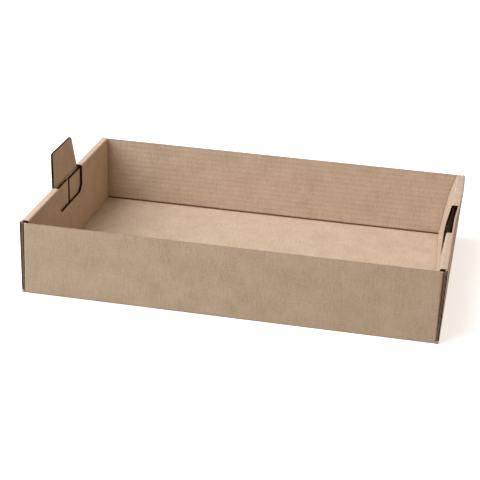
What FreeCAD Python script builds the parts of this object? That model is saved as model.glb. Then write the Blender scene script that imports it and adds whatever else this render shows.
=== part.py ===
import FreeCAD, Part
import math
import os

# Cardboard tray box, folded from one die-cut sheet of corrugated board, in millimetres.
# X runs along the tray, Y across it and Z up. The origin is the middle of the base's underside.
# The left end is at -X, and the front long wall at -Y.

# The board and its folds
board = 3.5               # thickness of the corrugated board
fold_radius = 2.5         # outside of every fold
layer_gap = 0.3           # between two layers of board that lie against each other

# The tray
tray_width = 400.0        # over the outer faces of the two long walls
corner_span = 584.9       # between the vertical corner folds, over their outer faces
long_wall_height = 106.0
end_wall_height = 108.5

# The end walls: an outer panel, a top strip and an inner panel that rolls over the corner flaps
left_flare = 2.0          # how far the top of the left end wall leans out past its foot
right_flare = 2.5
strip_slack = 0.2         # what the top strip is wider than the three boards below it
panel_end_inset = 6.5     # from a long wall's outer face to the end of the strip and inner panel
panel_corner_drop = 1.0   # the outer panel's bare top corners stop this far under the top strip

# The right end wall has come loose: its inner panel's foot has slid into the tray
right_slip_front = 1.0    # how far the foot has slid in, at the front end of the panel
right_slip_rear = 17.4    # and at the rear end
right_belly_front = 0.8   # how far the panel bows into the tray, at its front end
right_belly_rear = 3.3
belly_radius = 200.0
right_bow = 3.5           # how far the top of the wall bows out, at the most
bow_start = -5.0          # where the bow starts across the tray
bow_spread = 0.8          # half waves of the bow from there to the rear end of the strip
bow_shared = 0.35         # the part of the bow that the inner top crease follows
bow_steps = 6             # straight stretches that the bow is made of

# The corner flaps, between the two panels of each end wall
flap_slit = 7.0           # between the two flaps where they meet
flap_slit_y = -1.7        # the middle of the slit, across the tray
rear_flap_drop = 2.0      # how much lower the rear flap's top is than the front one's
flap_relief = 0.5         # under the flaps
flap_run = 3.0            # the first stretch of a flap, where it turns out to lie flat

# The lock tabs along the foot of each inner panel, and their slots in the base
lock_width = 36.0
lock_offset = 111.0       # from the middle of the end wall to the middle of a lock tab
lock_length = 2.9
lock_play = 0.4           # around a lock tab in its slot

# The raised tab that is cut from the strip and the inner panel, and the window that it leaves
tab_root_width = 111.0
tab_tip_width = 88.5
tab_length = 51.5
tab_offset = -3.5         # of the tab's middle, across the tray
tab_tip_radius = 5.0
tab_lean = 6.0            # degrees that the raised left tab leans outwards
tab_root_drop = 2.5       # from the top strip down to the crease that the tab stands on
tab_root_gap = 0.3        # between the tab and the board that it stands on
root_bevel = 1.2          # of the pressed crease along the inside of the tab's root
hinge_offset = 0.3        # of the tab's fold line, outside the wall's outer face
window_play = 1.0         # between the tab's cut edges and the window's
window_corner_width = 11.0
window_corner_height = 9.0

# The core of the board, which is open to view where the sheet is cut
liner = 0.35              # thickness of each face sheet
medium = 0.3              # thickness of the waved sheet between them
flute_pitch = 8.3
flute_crest = 1.2         # the length of a wave's crest that is glued to a liner
cell_floor = 0.8          # the narrow side of a cell between two waves
cell_depth = 6.0          # how far the cells are open behind a cut across the flutes
wide_groove = 0.6         # the wider groove's part of the core, in a cut along the flutes
wide_groove_depth = 5.0
narrow_groove_depth = 3.0
least_radius = 0.1        # of a groove's bend where the board's own radius is used up

half_width = tray_width / 2
corner_x = corner_span / 2
panel_half = half_width - panel_end_inset
foot_x = corner_x + layer_gap + board
strip_width = 3 * board + 2 * layer_gap + strip_slack
snug_foot_x = corner_x - 2 * board - layer_gap
root_half = tab_root_width / 2 + window_play
root_height = end_wall_height - tab_root_drop
window_sill = end_wall_height - (tab_length + window_play - strip_width)
window_shoulder = window_sill + window_corner_height
over = 20.0               # how far a cutting tool reaches past what it cuts
clear = 1.0               # the same, where something else is near
same = 0.01               # lengths that differ by less are the same


def direction(start, end):
    """The unit vector from one point of a plane to another."""
    length = math.hypot(end[0] - start[0], end[1] - start[1])
    return (end[0] - start[0]) / length, (end[1] - start[1]) / length


def left_offset(path, distance):
    """A path moved sideways to its left, with mitred corners."""
    headings = [direction(a, b) for a, b in zip(path, path[1:])]
    moved = []
    for index, point in enumerate(path):
        first = headings[max(index - 1, 0)]
        last = headings[min(index, len(headings) - 1)]
        reach = distance / (1 + first[0] * last[0] + first[1] * last[1])
        moved.append((point[0] - reach * (first[1] + last[1]), point[1] + reach * (first[0] + last[0])))
    return moved


def board_section(path, radii, place, depth=board):
    """The closed outline of a folded board whose outer face follows the path.

    The board lies to the left of the path. Its folds are round outside and sharp inside.
    """
    edges = []
    start = path[0]
    for before, corner, after, radius in zip(path, path[1:], path[2:], radii):
        inward = direction(before, corner)
        outward = direction(corner, after)
        turn = math.acos(inward[0] * outward[0] + inward[1] * outward[1])
        back = radius * math.tan(turn / 2)
        enter = (corner[0] - back * inward[0], corner[1] - back * inward[1])
        leave = (corner[0] + back * outward[0], corner[1] + back * outward[1])
        centre = (enter[0] - radius * inward[1], enter[1] + radius * inward[0])
        towards = direction(centre, corner)
        middle = (centre[0] + radius * towards[0], centre[1] + radius * towards[1])
        edges.append(Part.LineSegment(place(*start), place(*enter)).toShape())
        edges.append(Part.Arc(place(*enter), place(*middle), place(*leave)).toShape())
        start = leave
    closing = [start, path[-1]] + left_offset(path, depth)[::-1] + [path[0]]
    for first, last in zip(closing, closing[1:]):
        edges.append(Part.LineSegment(place(*first), place(*last)).toShape())
    return Part.Wire(edges)


def prism(points, place, sweep):
    """A solid swept from a flat outline."""
    outline = [place(*point) for point in points]
    return Part.Face(Part.makePolygon(outline + outline[:1])).extrude(sweep)


def box(low, high):
    """A box between two corners."""
    size = [b - a for a, b in zip(low, high)]
    return Part.makeBox(*size, FreeCAD.Vector(*low))


def mirrored(shape):
    """The same shape at the other end of the tray."""
    return shape.mirror(FreeCAD.Vector(0, 0, 0), FreeCAD.Vector(1, 0, 0))


def front_to_rear(shape):
    """The same shape at the other long wall."""
    return shape.mirror(FreeCAD.Vector(0, 0, 0), FreeCAD.Vector(0, 1, 0))


def core_grooves():
    """The two grooves of a cut along the flutes: where each starts in the board, its width and its depth."""
    core = board - 2 * liner - medium
    wide = core * wide_groove
    second = liner + wide + medium
    return [(liner, wide, wide_groove_depth), (second, core - wide, narrow_groove_depth)]


def cell_outlines(length, stretch=1.0):
    """The cells that a cut across the flutes opens, as outlines of places along it and through the board.

    The waves stand to one liner and to the other by turns. A slanting cut stretches them.
    """
    half_pitch = stretch * flute_pitch / 2
    mouth = stretch * (flute_pitch - flute_crest) / 2
    floor = stretch * cell_floor / 2
    count = math.floor((length - 2 * mouth) / half_pitch) + 1
    outlines = []
    for index in range(count):
        middle = length / 2 + (index - (count - 1) / 2) * half_pitch
        if index % 2:
            wide, narrow = liner, board - liner - medium
        else:
            wide, narrow = board - liner, liner + medium
        across = [(middle - mouth, wide), (middle + mouth, wide)]
        outlines.append(across + [(middle + floor, narrow), (middle - floor, narrow)])
    return outlines


def base_and_long_walls():
    """The base and the two long walls, folded up along its long edges."""
    path = [(-half_width, long_wall_height), (-half_width, 0)]
    path += [(half_width, 0), (half_width, long_wall_height)]
    section = board_section(path, [fold_radius] * 2, lambda y, z: FreeCAD.Vector(-corner_x, y, z))
    shape = Part.Face(section).extrude(FreeCAD.Vector(corner_span, 0, 0))
    tools = []
    for x in (-1, 1):
        for y in (-1, 1):
            tools.append(corner_rounding(x, y))
        for lock in lock_centres():
            tools.append(lock_slot(x, lock))
    for start, width, depth in core_grooves():
        low = (board - corner_x, half_width - start - width, long_wall_height - depth)
        groove = box(low, (corner_x - board, half_width - start, long_wall_height + over))
        tools += [groove, front_to_rear(groove)]
    return shape.cut(tools)


def corner_rounding(x_side, y_side):
    """What a vertical corner fold takes off the square end of a long wall."""
    height = long_wall_height - board
    square = Part.makeBox(fold_radius, fold_radius, height)
    square = square.cut(Part.makeCylinder(fold_radius, height))
    square.translate(FreeCAD.Vector(corner_x - fold_radius, half_width - fold_radius, board))
    if x_side < 0:
        square = mirrored(square)
    if y_side < 0:
        square = front_to_rear(square)
    return square


def lock_centres():
    return (-lock_offset, lock_offset)


def lock_slot(side, centre):
    """A slot through the base for one lock tab."""
    half = lock_width / 2 + lock_play
    near = snug_foot_x - lock_play
    far = snug_foot_x + board + lock_play
    slot = box((near, centre - half, -over), (far, centre + half, board + over))
    return slot if side > 0 else mirrored(slot)


def left_shape(y):
    """The left end wall's lean, bow, slip and belly, which are the same all across the tray."""
    return left_flare, 0, 0, 0


def right_shape(y):
    """The right end wall's lean, bow, slip and belly at one place across the tray."""
    part = (y + panel_half) / (2 * panel_half)
    slip = right_slip_front + part * (right_slip_rear - right_slip_front)
    belly = right_belly_front + part * (right_belly_rear - right_belly_front)
    along = max(0, (y - bow_start) / (panel_half - bow_start))
    return right_flare, right_bow * math.sin(math.pi * bow_spread * along), slip, belly


def end_path(flare, bow, slip, belly):
    """The outer face of an end wall, from the base up, over the top strip and down inside."""
    top_x = foot_x + flare + bow
    inner_x = foot_x + flare + bow_shared * bow - strip_width
    sole_x = snug_foot_x - slip
    path = [(corner_x, 0), (foot_x, 0), (top_x, end_wall_height), (inner_x, end_wall_height)]
    if slip:
        belly_x = sole_x + (inner_x - sole_x) * window_shoulder / end_wall_height - belly
        lean = (belly_x - sole_x) / math.hypot(belly_x - sole_x, window_shoulder)
        return path + [(belly_x, window_shoulder), (sole_x, board + layer_gap + board * lean)]
    return path + [(sole_x, board + layer_gap - lock_length)]


def fold_radii(path):
    """The outside radius of each of an end wall's folds, and of its belly where it has one."""
    return [fold_radius] * 3 + [belly_radius] * (len(path) - 5)


def inner_face(path, z):
    """Where the face of the inner panel toward the tray is at that height, below its shoulders."""
    high, low = path[-2:]
    return low[0] + (high[0] - low[0]) * (z - low[1]) / (high[1] - low[1])


def edge_grooves(path, radii, y, into):
    """The grooves in a cut edge of an end wall, at y, going into the board that way."""
    tools = []
    for start, width, depth in core_grooves():
        bends = [max(radius - start, least_radius) for radius in radii]
        place = lambda x, z: FreeCAD.Vector(x, y - into * clear, z)
        outline = board_section(left_offset(path, start), bends, place, width)
        tools.append(Part.Face(outline).extrude(FreeCAD.Vector(0, into * (depth + clear), 0)))
    return tools


def bare_corner(lean):
    """The outer panel beside the top strip's rear end, where nothing rolls over it."""
    height = end_wall_height - panel_corner_drop
    top_x = foot_x + lean * height / end_wall_height
    path = [(corner_x, 0), (foot_x, 0), (top_x, height)]
    section = board_section(path, [fold_radius], lambda x, z: FreeCAD.Vector(x, panel_half, z))
    shape = Part.Face(section).extrude(FreeCAD.Vector(0, panel_end_inset, 0))
    low = 2 * fold_radius
    side = [(foot_x + lean * low / end_wall_height, low), (top_x + lean * clear / height, height + clear)]
    return shape.cut(edge_grooves(side, [], half_width, -1))


def sill_height(y):
    """The height of the window's lower edge, which rises toward its corners."""
    from_side = root_half - abs(y - tab_offset)
    return window_sill + window_corner_height * max(0, 1 - from_side / window_corner_width)


def window_tool(shape_at):
    """The window that the tab leaves in the inner panel and the top strip."""
    front = tab_offset - root_half
    rear = tab_offset + root_half
    top = end_wall_height + over
    outline = [(front, top), (front, window_shoulder), (front + window_corner_width, window_sill)]
    outline += [(rear - window_corner_width, window_sill), (rear, window_shoulder), (rear, top)]
    start = corner_x - 2 * over
    sweep = FreeCAD.Vector(foot_x - board - start, 0, 0)
    opening = prism(outline, lambda y, z: FreeCAD.Vector(start, y, z), sweep)
    plan = [(start, rear), (start, front)]
    for y in [front] + [y for y in stations(shape_at) if front < y < rear] + [rear]:
        flare, bow, slip, belly = shape_at(y)
        plan.append((foot_x + flare + bow - board, y))
    low = end_wall_height - 2 * board
    slot = prism(plan, lambda x, y: FreeCAD.Vector(x, y, low), FreeCAD.Vector(0, 0, 2 * board + over))
    return opening.fuse(slot)


def window_cells(shape_at):
    """The open flutes along the window's lower edge and its slanting corners."""
    front = tab_offset - root_half
    tools = []
    for outline in cell_outlines(2 * root_half):
        middle = front + (outline[0][0] + outline[1][0]) / 2
        low = sill_height(middle) - cell_depth
        high = low + cell_depth + window_corner_height
        path = end_path(*shape_at(middle))
        face_x = inner_face(path, low)
        sweep = FreeCAD.Vector(inner_face(path, high) - face_x, 0, high - low)
        place = lambda along, deep: FreeCAD.Vector(face_x + deep, front + along, low)
        tools.append(prism(outline, place, sweep))
    return tools


def pressed_crease():
    """The bevel along the inside of the crease that the raised tab stands on."""
    face = foot_x - board + left_flare * root_height / end_wall_height
    outline = [(face - clear, root_height), (face + root_bevel, root_height)]
    outline += [(face, root_height - root_bevel), (face - clear, root_height - root_bevel)]
    front = tab_offset - root_half
    return prism(outline, lambda x, z: FreeCAD.Vector(x, front, z), FreeCAD.Vector(0, 2 * root_half, 0))


def stations(shape_at):
    """The places across the tray where an end wall's section is set."""
    steps = []
    if shape_at is right_shape:
        steps = [bow_start + (panel_half - bow_start) * step / bow_steps for step in range(bow_steps)]
    return [-panel_half] + steps + [panel_half]


def end_wall(shape_at):
    """An end wall at +X: outer panel, top strip and inner panel, with its window and lock tabs."""
    sections = []
    for y in stations(shape_at):
        path = end_path(*shape_at(y))
        sections.append(board_section(path, fold_radii(path), lambda x, z: FreeCAD.Vector(x, y, z)))
    shape = Part.makeLoft(sections, True, True)
    front_path = end_path(*shape_at(-panel_half))
    rear_path = end_path(*shape_at(panel_half))
    sole = rear_path[-1][1] + lock_length
    tools = []
    stops = [-panel_half - over]
    for centre in lock_centres():
        stops += [centre - lock_width / 2, centre + lock_width / 2]
    stops.append(panel_half + over)
    for start, end in zip(stops[::2], stops[1::2]):
        tools.append(box((corner_x - 3 * over, start, -over), (corner_x - layer_gap, end, sole)))
    tools.append(window_tool(shape_at))
    if shape_at is left_shape:
        low = (corner_x - over, tab_offset - root_half, root_height)
        tools += [box(low, (foot_x + over, tab_offset + root_half, end_wall_height + over)), pressed_crease()]
    shape = shape.cut(tools)
    details = window_cells(shape_at)
    for path, y, into in ((front_path, -panel_half, 1), (rear_path, panel_half, -1)):
        strip_end = [(path[2][0] - board, end_wall_height)] + path[3:]
        details += edge_grooves(strip_end, fold_radii(path)[2:], y, into)
    for side in (-1, 1):
        y = tab_offset + side * root_half
        path = end_path(*shape_at(y))
        shoulder = (inner_face(path, window_shoulder), window_shoulder)
        cut_end = [(path[2][0] - board, end_wall_height), path[3], shoulder]
        details += edge_grooves(cut_end, [fold_radius], y, side)
    shape = shape.cut(details)
    rear = bare_corner(rear_path[2][0] - foot_x)
    front = front_to_rear(bare_corner(front_path[2][0] - foot_x))
    return shape.fuse([front, rear])


def corner_flap(far_lean, near_lean, end, drop):
    """The corner flap at the rear of the +X end: upright at its fold, leaning with the wall beyond."""
    start = half_width - board
    settled = start - flap_run
    low = board + flap_relief
    high = end_wall_height - board - layer_gap - drop
    far = far_lean * high / end_wall_height
    near = near_lean * high / end_wall_height
    wires = []
    for z, part in ((low, 0), (high, 1)):
        outer = [(corner_x, start), (corner_x + part * far, settled), (corner_x + part * near, end)]
        inner = [(x - board, y) for x, y in reversed(outer)]
        outline = [FreeCAD.Vector(x, y, z) for x, y in outer + inner]
        wires.append(Part.makePolygon(outline + outline[:1]))
    tools = []
    for along, width, depth in core_grooves():
        plan = [(corner_x + far - along, settled), (corner_x + near - along, end - clear)]
        plan += [(x - width, y) for x, y in reversed(plan)]
        up = FreeCAD.Vector(0, 0, depth + clear)
        tools.append(prism(plan, lambda x, y: FreeCAD.Vector(x, y, high - depth), up))
    sweep = FreeCAD.Vector(0, -cell_depth - clear, 0)
    rise = near / (high - low)
    place = lambda up, deep: FreeCAD.Vector(corner_x + rise * up - deep, end + cell_depth, low + up)
    for outline in cell_outlines(high - low - 2 * wide_groove_depth):
        tools.append(prism(outline, place, sweep))
    return Part.makeLoft(wires, True, True).cut(tools)


def tray():
    """The whole sheet as one folded piece."""
    pieces = [mirrored(end_wall(left_shape)), end_wall(right_shape)]
    for flare, bow, turned in ((left_flare, 0, True), (right_flare, right_shape(panel_half)[1], False)):
        rear = corner_flap(flare + bow, flare, flap_slit / 2 + flap_slit_y, rear_flap_drop)
        front = front_to_rear(corner_flap(flare, flare, flap_slit / 2 - flap_slit_y, 0))
        pieces += [mirrored(rear), mirrored(front)] if turned else [rear, front]
    return base_and_long_walls().fuse(pieces).removeSplitter()


def hinge_line():
    """A point on the fold line of the left tab."""
    wall_x = foot_x + left_flare * root_height / end_wall_height
    return FreeCAD.Vector(-(wall_x + hinge_offset), 0, root_height + tab_root_gap / 2)


def side_cells(root, tip, inward, face_x):
    """The open flutes along one slanting side of the tab, from its root to its tip."""
    run = abs(tip[0] - root[0])
    length = math.hypot(run, tip[1] - root[1])
    along = direction(root, tip)
    across = (inward * abs(along[1]), -inward * along[0] * math.copysign(1, along[1]))
    y, z = [base + wide_groove_depth * step for base, step in zip(root, across)]
    sweep = FreeCAD.Vector(0, -across[0], -across[1]) * (wide_groove_depth + clear)
    place = lambda up, deep: FreeCAD.Vector(face_x + deep, y + up * along[0], z + up * along[1])
    return [prism(outline, place, sweep) for outline in cell_outlines(length, length / run)]


def left_tab():
    """The raised tab: a tapered leaf of board on the left end wall."""
    line = hinge_line()
    low = root_height + tab_root_gap
    high = low + tab_length
    face_x = line.x + hinge_offset
    root = [(tab_offset + side * tab_root_width / 2, low) for side in (-1, 1)]
    tip = [(tab_offset + side * tab_tip_width / 2, high) for side in (-1, 1)]
    leaf = prism(root + tip[::-1], lambda y, z: FreeCAD.Vector(face_x, y, z), FreeCAD.Vector(board, 0, 0))
    top = [edge.BoundBox for edge in leaf.Edges]
    tips = [edge for edge, size in zip(leaf.Edges, top) if size.ZMin > high - same and size.YLength < same]
    leaf = leaf.makeFillet(tab_tip_radius, tips)
    tools = side_cells(root[0], tip[0], 1, face_x) + side_cells(root[1], tip[1], -1, face_x)
    start = tip[0][0] + tab_tip_radius
    place = lambda along, deep: FreeCAD.Vector(face_x + deep, start + along, high - cell_depth)
    for outline in cell_outlines(tab_tip_width - 2 * tab_tip_radius):
        tools.append(prism(outline, place, FreeCAD.Vector(0, 0, cell_depth + clear)))
    inside = face_x + board
    bevel = [(inside - root_bevel, low), (inside + clear, low - clear), (inside + clear, low + root_bevel)]
    bevel.append((inside, low + root_bevel))
    front = root[0][0] - clear
    sweep = FreeCAD.Vector(0, tab_root_width + 2 * clear, 0)
    tools.append(prism(bevel, lambda x, z: FreeCAD.Vector(x, front, z), sweep))
    leaf = leaf.cut(tools)
    leaf.rotate(line, FreeCAD.Vector(0, -1, 0), tab_lean)
    return leaf


os.makedirs("parts", exist_ok=True)
tray().exportStep("parts/tray.step")
left_tab().exportStep("parts/left_tab.step")
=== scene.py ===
import math

import bpy
from mathutils import Euler, Matrix, Vector


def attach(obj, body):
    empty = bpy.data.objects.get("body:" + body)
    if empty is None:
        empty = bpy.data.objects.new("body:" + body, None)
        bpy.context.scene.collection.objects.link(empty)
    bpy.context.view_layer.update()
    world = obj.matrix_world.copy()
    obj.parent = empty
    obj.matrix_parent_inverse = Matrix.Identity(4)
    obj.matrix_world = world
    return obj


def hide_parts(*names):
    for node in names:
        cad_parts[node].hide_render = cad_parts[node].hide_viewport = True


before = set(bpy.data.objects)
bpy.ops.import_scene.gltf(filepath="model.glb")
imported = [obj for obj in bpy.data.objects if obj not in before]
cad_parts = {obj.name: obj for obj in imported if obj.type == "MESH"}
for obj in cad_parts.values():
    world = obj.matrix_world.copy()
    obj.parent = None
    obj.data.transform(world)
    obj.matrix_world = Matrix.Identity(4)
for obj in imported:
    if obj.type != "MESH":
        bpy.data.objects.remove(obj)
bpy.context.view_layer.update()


# The table under the tray: a wide sheet of opal acrylic, lit evenly from below.
# Its glow keeps the shadows on it faint, and it throws no light up at the tray, which is
# lit by the soft box and the room alone.
def linear(hex_colour):
    """An sRGB hex colour as linear RGBA, by the standard's own curve."""
    parts = [int(hex_colour[i:i + 2], 16) / 255 for i in (1, 3, 5)]
    return [c / 12.92 if c <= 0.04045 else ((c + 0.055) / 1.055) ** 2.4 for c in parts] + [1.0]


def add_node(material, kind, inputs=None, links=None, **settings):
    """Adds a node with its settings and input values, and links (node, output) to its inputs."""
    node = material.node_tree.nodes.new(kind)
    for name, value in settings.items():
        setattr(node, name, value)
    for name, value in (inputs or {}).items():
        node.inputs[name].default_value = value
    for name, (source, output) in (links or {}).items():
        material.node_tree.links.new(source.outputs[output], node.inputs[name])
    return node


def new_material(name):
    """A new node material and its shader."""
    material = bpy.data.materials.new(name)
    material.use_nodes = True
    return material, material.node_tree.nodes["Principled BSDF"]


table_width = 14.0
table_drop = 0.0002       # the table's top is just clear of the tray's underside
table_glow = 0.55

bpy.ops.object.select_all(action="DESELECT")
bpy.ops.mesh.primitive_plane_add(size=table_width, location=(0, 0, -table_drop))
table = bpy.context.object
table.name = "studio_table"
bpy.ops.object.transform_apply(location=True, rotation=True, scale=True)

# Cast acrylic with a sanded face: white all through, with only a soft sheen.
acrylic, shader = new_material("opal_acrylic")
shader.inputs["Roughness"].default_value = 0.6
shader.inputs["Base Color"].default_value = linear("#FAFAF9")
shader.inputs["Emission Color"].default_value = linear("#FFFFFF")
shader.inputs["Emission Strength"].default_value = table_glow
table.data.materials.append(acrylic)
table.visible_diffuse = False


# The tray: one die-cut sheet of C-flute board, folded up and locked with no glue or tape.
# Brown kraft liners over a waved core. Each liner sinks a little between the crests that it is
# glued to, so faint lines run along the sheet, and the core shows where the sheet is cut.
flute_pitch = 0.0083
cuts_per_flute = 6
inner_sag = 0.00014       # the thin inner liner sinks deeper than the heavy outer one
outer_sag = 0.00004
board = 0.0035            # the thickness of the sheet
half_width = 0.2          # from the middle to the outer face of a long wall
wall_line = 0.1965        # the inner face of a long wall
wall_top = 0.106          # no cut is made above this, where a long wall's edge begins
pinched_above = 0.1       # a long wall's narrow faces above this are its pinched top edge
corner_line = 0.29245     # the outer face of a corner fold
panel_line = 0.2885       # an end wall's inner panel is nearer to the middle than this
outer_line = 0.2960       # and its outer face is further out than this, above its foot
foot_height = 0.006
crease_width = 0.0014     # a fold's pressed crease reaches at least this far to each side
crease_depth = 0.0018
wall_slack = 0.001        # a face this close to the wall line is a long wall's inner face
fold_slack = 0.0003       # a fold's vertices lie this close to the base's upper face
tab_crease_line = -0.2935 # the crease under the left tab is further out than this
tab_crease_low = 0.103
tab_crease_high = 0.1065
window_half = 0.06
widest_cut_face = 0.0055  # no face of a cut edge is wider than this
near = 0.0001             # the mesh keeps to the lines above within this
merge_distance = 0.00001

# A face counts as tilted to an axis, facing it, nearly square or square to it, when its normal
# has more than this share along the axis.
tilted = 0.3
facing = 0.5
nearly_square = 0.7
square = 0.9

# Neighbouring faces that differ by less than these angles are joined as flat, carry the same
# liner on, or are shaded as one curve.
flat_angle = math.radians(0.5)
liner_angle = math.radians(35)
curve_angle = math.radians(30)

core_slot = 0
liner_slot = 1
fold_slot = 2


def joined_copy(node, name):
    """A copy of a piece's solid with its loose triangles joined into whole faces."""
    bpy.ops.object.select_all(action="DESELECT")
    piece = bpy.data.objects.new(name, node.data.copy())
    bpy.context.scene.collection.objects.link(piece)
    bpy.context.view_layer.objects.active = piece
    piece.select_set(True)
    bpy.ops.mesh.customdata_custom_splitnormals_clear()
    bpy.ops.object.mode_set(mode="EDIT")
    bpy.ops.mesh.select_mode(type="FACE")
    bpy.ops.mesh.select_all(action="SELECT")
    bpy.ops.mesh.remove_doubles(threshold=merge_distance)
    bpy.ops.mesh.mark_sharp(clear=True)
    bpy.ops.mesh.dissolve_limited(angle_limit=flat_angle)
    bpy.ops.object.mode_set(mode="OBJECT")
    return piece


def select_faces(piece, test):
    """Selects just the faces that pass the test."""
    piece.data.vertices.foreach_set("select", [False] * len(piece.data.vertices))
    piece.data.edges.foreach_set("select", [False] * len(piece.data.edges))
    for face in piece.data.polygons:
        face.select = test(face)


def width_of(piece, face):
    """About how wide a long and narrow face is: twice its area over the length round it."""
    points = [piece.data.vertices[index].co for index in face.vertices]
    length_round = sum((a - b).length for a, b in zip(points, points[1:] + points[:1]))
    return 2 * face.area / length_round


def finish_skin(piece, liner, core, pinched):
    """Gives the liners and the pinched edges one material, and the core in a cut the other."""
    piece.data.materials.clear()
    piece.data.materials.append(core)
    piece.data.materials.append(liner)
    select_faces(piece, lambda face: pinched(face) or width_of(piece, face) > widest_cut_face)
    bpy.ops.object.mode_set(mode="EDIT")
    bpy.ops.mesh.faces_select_linked_flat(sharpness=liner_angle)
    piece.active_material_index = liner_slot
    bpy.ops.object.material_slot_assign()
    bpy.ops.mesh.select_all(action="INVERT")
    piece.active_material_index = core_slot
    bpy.ops.object.material_slot_assign()
    bpy.ops.object.mode_set(mode="OBJECT")


def cut_across(piece, test, axis, low, high):
    """Cuts the liner's faces that pass the test into strips, a few to each flute."""
    select_faces(piece, lambda face: face.material_index == liner_slot and test(face))
    bpy.ops.object.mode_set(mode="EDIT")
    bpy.ops.mesh.hide(unselected=True)
    step = flute_pitch / cuts_per_flute
    for index in range(math.ceil(low / step), math.floor(high / step) + 1):
        bpy.ops.mesh.select_all(action="SELECT")
        bpy.ops.mesh.bisect(plane_co=axis * (index * step), plane_no=axis)
    bpy.ops.mesh.reveal()
    bpy.ops.object.mode_set(mode="OBJECT")


def across_blank(point):
    """How far a point lies from the middle of the flat sheet, across the flutes."""
    if abs(point.y) > wall_line - near:
        return half_width + point.z
    return point.y


def sink_liner(piece, test, depth):
    """Lets the liner sink into the board between the flutes' crests."""
    outward = {}
    for face in piece.data.polygons:
        if face.material_index == liner_slot and test(face):
            for index in face.vertices:
                outward[index] = outward.get(index, Vector()) + face.normal
    for index, normal in outward.items():
        vertex = piece.data.vertices[index]
        turns = across_blank(vertex.co) / flute_pitch
        wave = (1 - math.cos(2 * math.pi * turns)) / 2
        vertex.co -= normal.normalized() * depth * wave


def lay_flat(piece):
    """A UV map in metres: the place of each face's corners on the flat sheet."""
    flat = piece.data.uv_layers.new(name="flat_sheet")
    for face in piece.data.polygons:
        for loop in face.loop_indices:
            point = piece.data.vertices[piece.data.loops[loop].vertex_index].co
            if abs(face.center.y) > wall_line and abs(face.normal.y) > facing:
                place = (point.x, math.copysign(half_width + point.z, point.y))
            elif abs(face.normal.z) > nearly_square:
                place = (point.x, point.y)
            else:
                # The normal's share sets the two sides of an end wall a long way apart.
                along = math.copysign(corner_line + point.z, point.x) - face.normal.x
                place = (along, point.y)
            flat.data[loop].uv = place


def smooth(piece):
    """Shades shallow bends as curves and leaves the cut edges crisp."""
    bpy.ops.object.select_all(action="DESELECT")
    bpy.context.view_layer.objects.active = piece
    piece.select_set(True)
    bpy.ops.object.shade_smooth_by_angle(angle=curve_angle)


# Kraft liner, pressed hot between steel rolls: matt, with clouds in the pulp and long fibres
# that lie across the flutes, the way the paper ran through the machine. Real fibres are far
# finer than these, which are drawn as coarse as they need to be to show.
cloud_scale = 28.0                   # clouds about 36 mm across
fibre_scale = (420.0, 45.0, 1.0)     # streaks about 2.4 mm wide and 22 mm long
fleck_scale = 420.0                  # flecks about 2.4 mm across
fibre_share = 0.5                    # of the pulp, beside the clouds
fleck_share = 0.4                    # of the whole, beside the pulp
kraft_darkest = 0.36                 # where the mixed noise is this low or this high
kraft_lightest = 0.64
fuzz_height = 0.00008

kraft, shader = new_material("kraft_liner")
shader.inputs["Roughness"].default_value = 0.8
shader.inputs["IOR"].default_value = 1.45
shader.inputs["Specular IOR Level"].default_value = 0.25
sheet = add_node(kraft, "ShaderNodeUVMap", uv_map="flat_sheet")
clouds = add_node(kraft, "ShaderNodeTexNoise",
                  {"Scale": cloud_scale, "Detail": 5.0, "Roughness": 0.65},
                  {"Vector": (sheet, "UV")})
stretched = add_node(kraft, "ShaderNodeMapping", {"Scale": fibre_scale}, {"Vector": (sheet, "UV")})
fibres = add_node(kraft, "ShaderNodeTexNoise",
                  {"Scale": 1.0, "Detail": 6.0, "Roughness": 0.7},
                  {"Vector": (stretched, "Vector")})
flecks = add_node(kraft, "ShaderNodeTexNoise",
                  {"Scale": fleck_scale, "Detail": 3.0, "Roughness": 0.6},
                  {"Vector": (sheet, "UV")})
pulp = add_node(kraft, "ShaderNodeMix", {"Factor": fibre_share},
                {"A": (clouds, "Fac"), "B": (fibres, "Fac")}, data_type="FLOAT")
mixed = add_node(kraft, "ShaderNodeMix", {"Factor": fleck_share},
                 {"A": (pulp, "Result"), "B": (flecks, "Fac")}, data_type="FLOAT")
tone = add_node(kraft, "ShaderNodeValToRGB", links={"Fac": (mixed, "Result")})
tone.color_ramp.elements[0].position = kraft_darkest
tone.color_ramp.elements[0].color = linear("#AB9378")
tone.color_ramp.elements[1].position = kraft_lightest
tone.color_ramp.elements[1].color = linear("#CAB49C")
kraft.node_tree.links.new(tone.outputs["Color"], shader.inputs["Base Color"])
fuzz = add_node(kraft, "ShaderNodeBump", {"Strength": 0.35, "Distance": fuzz_height},
                {"Height": (mixed, "Result")})
kraft.node_tree.links.new(fuzz.outputs["Normal"], shader.inputs["Normal"])

# Fluting medium and sheared liner edges: rough paper, with painted shade. The real core and cut
# liner edges are about as light as the liner.
# Here they are coloured dark brown for the shade that fills the flutes and the cut faces turned
# from the lamp.
grain_scale = 700.0                  # grain about 1.4 mm across, coarse enough to show
edge_shade_darkest = 0.3
edge_shade_lightest = 0.7

cut_edge_shade, shader = new_material("cut_edge_painted_shade")
shader.inputs["Roughness"].default_value = 0.95
shader.inputs["Specular IOR Level"].default_value = 0.1
inside = add_node(cut_edge_shade, "ShaderNodeTexCoord")
grain = add_node(cut_edge_shade, "ShaderNodeTexNoise",
                 {"Scale": grain_scale, "Detail": 4.0, "Roughness": 0.7},
                 {"Vector": (inside, "Object")})
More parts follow.
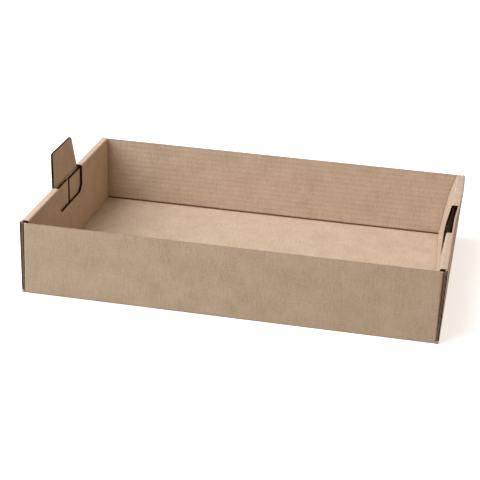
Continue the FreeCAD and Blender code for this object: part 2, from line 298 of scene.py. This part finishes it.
# Painted shade: this dark brown ramp stands for the shade in the cut, not for the paper's own
# colour.
painted_edge_tone = add_node(cut_edge_shade, "ShaderNodeValToRGB", links={"Fac": (grain, "Fac")})
painted_edge_tone.color_ramp.elements[0].position = edge_shade_darkest
painted_edge_tone.color_ramp.elements[0].color = linear("#281B13")
painted_edge_tone.color_ramp.elements[1].position = edge_shade_lightest
painted_edge_tone.color_ramp.elements[1].color = linear("#453224")
cut_edge_shade.node_tree.links.new(painted_edge_tone.outputs["Color"], shader.inputs["Base Color"])

# Liner squeezed in a fold, with painted shade: the same paper, smoother from the creasing rule,
# coloured dark brown for the shade in the pressed valley.
fold_shade, shader = new_material("fold_painted_shade")
shader.inputs["Base Color"].default_value = linear("#7F5C42")
shader.inputs["Roughness"].default_value = 0.7

tray = joined_copy(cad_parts["tray"], "folded_sheet")


def pinched_shut(face):
    """The crease under the left tab, and the long walls' top edges, which the die pinches."""
    x, y, z = face.center
    in_tab_crease = x < tab_crease_line and tab_crease_low < z < tab_crease_high
    in_window = abs(y) < window_half and face.normal.x > tilted
    on_wall_edge = abs(y) > wall_line and z > pinched_above
    return in_tab_crease and in_window or on_wall_edge


finish_skin(tray, kraft, cut_edge_shade, pinched_shut)


def in_long_wall(face):
    return abs(face.center.y) > wall_line and abs(face.center.x) < corner_line


def in_base_or_end_wall(face):
    """All of the base and end walls but the faces hidden between an end wall's layers."""
    between = panel_line < abs(face.center.x) < outer_line and abs(face.normal.x) > facing
    hidden = between and face.center.z > foot_height
    return abs(face.center.y) < wall_line and not hidden


def on_inner_liner(face):
    """The base's upper face and the inside of the long walls."""
    on_base = face.normal.z > square and face.center.z < foot_height
    near_wall_line = abs(abs(face.center.y) - wall_line) < wall_slack
    on_wall = abs(face.normal.y) > square and near_wall_line and abs(face.center.x) < corner_line
    return on_base or on_wall


def on_outer_liner(face):
    """The rest, with the end walls, where the sheet is rolled over."""
    return not on_inner_liner(face) and (in_long_wall(face) or in_base_or_end_wall(face))


first_cut = wall_line - crease_width
cut_across(tray, in_long_wall, Vector((0, 0, 1)), board + crease_width, wall_top)
cut_across(tray, in_base_or_end_wall, Vector((0, 1, 0)), -first_cut, first_cut)
sink_liner(tray, on_inner_liner, inner_sag)
sink_liner(tray, on_outer_liner, outer_sag)

# The creasing rule presses a valley along the folds between base and long walls, and the valley's
# faces take the painted fold shade.
tray.data.materials.append(fold_shade)
in_fold = set()
for vertex in tray.data.vertices:
    on_wall_line = abs(abs(vertex.co.y) - wall_line) < near
    if on_wall_line and abs(vertex.co.z - board) < fold_slack:
        vertex.co += Vector((0, math.copysign(crease_depth, vertex.co.y), -crease_depth))
        in_fold.add(vertex.index)
# Painted shade: faces along the fold get the dark brown colour that stands for the shade in the
# valley.
for face in tray.data.polygons:
    if len(in_fold.intersection(face.vertices)) > 1:
        face.material_index = fold_slot
lay_flat(tray)
smooth(tray)
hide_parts("tray")
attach(tray, "tray")


# The left tab: the flap that is cut from the strip and inner panel, raised on its crease.
# The same board, with its flutes upright, so the core is open along its top and slanting sides.
tab_front = -0.0625
tab_rear = 0.0545

tab = joined_copy(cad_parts["left_tab"], "raised_tab")
finish_skin(tab, kraft, cut_edge_shade, lambda face: face.normal.z < -tilted)
cut_across(tab, lambda face: True, Vector((0, 1, 0)), tab_front, tab_rear)
sink_liner(tab, lambda face: face.normal.x > facing, inner_sag)
sink_liner(tab, lambda face: face.normal.x < -facing, outer_sag)
lay_flat(tab)
smooth(tab)
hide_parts("left_tab")
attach(tab, "tab")


# The studio: a room with warm white walls that fills the shade, and one large soft box at the
# upper left. It is cloth over a daylight lamp, so its light is a little cool and the shadows
# have wide edges.
room_light = 0.46
soft_box_side = 3.0
soft_box_distance = 3.0
soft_box_power = 178

world = bpy.data.worlds.new("white_room")
world.use_nodes = True
world.node_tree.nodes["Background"].inputs["Color"].default_value = linear("#FFEEDC")
world.node_tree.nodes["Background"].inputs["Strength"].default_value = room_light
bpy.context.scene.world = world
bpy.context.scene.view_settings.view_transform = "Standard"

lamp = bpy.data.lights.new("key_light", "AREA")
lamp.size = soft_box_side
lamp.energy = soft_box_power
lamp.color = linear("#EAF0FF")[:3]
soft_box = bpy.data.objects.new("key_light", lamp)
bpy.context.scene.collection.objects.link(soft_box)
away = Vector((-0.58, -0.32, 0.75)).normalized()
soft_box.location = away * soft_box_distance
soft_box.rotation_euler = away.to_track_quat("Z", "Y").to_euler()


# The camera: a short telephoto held above the right end of the front wall.
# It stands where the tray's edges line up with the photograph's.
azimuth = math.radians(10.583)
elevation = math.radians(22.403)
roll = math.radians(2.525)
camera_place = (0.33601, -1.91021, 0.83636)
focal_length_px = 1387.3
frame_px = 480
sensor_mm = 36

camera_data = bpy.data.cameras.new("camera")
camera_data.sensor_width = sensor_mm
camera_data.lens = camera_data.sensor_width * focal_length_px / frame_px
camera = bpy.data.objects.new("camera", camera_data)
bpy.context.scene.collection.objects.link(camera)
turn = Euler((math.pi / 2 - elevation, 0, azimuth)).to_matrix() @ Matrix.Rotation(roll, 3, "Z")
camera.matrix_world = Matrix.Translation(camera_place) @ turn.to_4x4()
bpy.context.scene.camera = camera
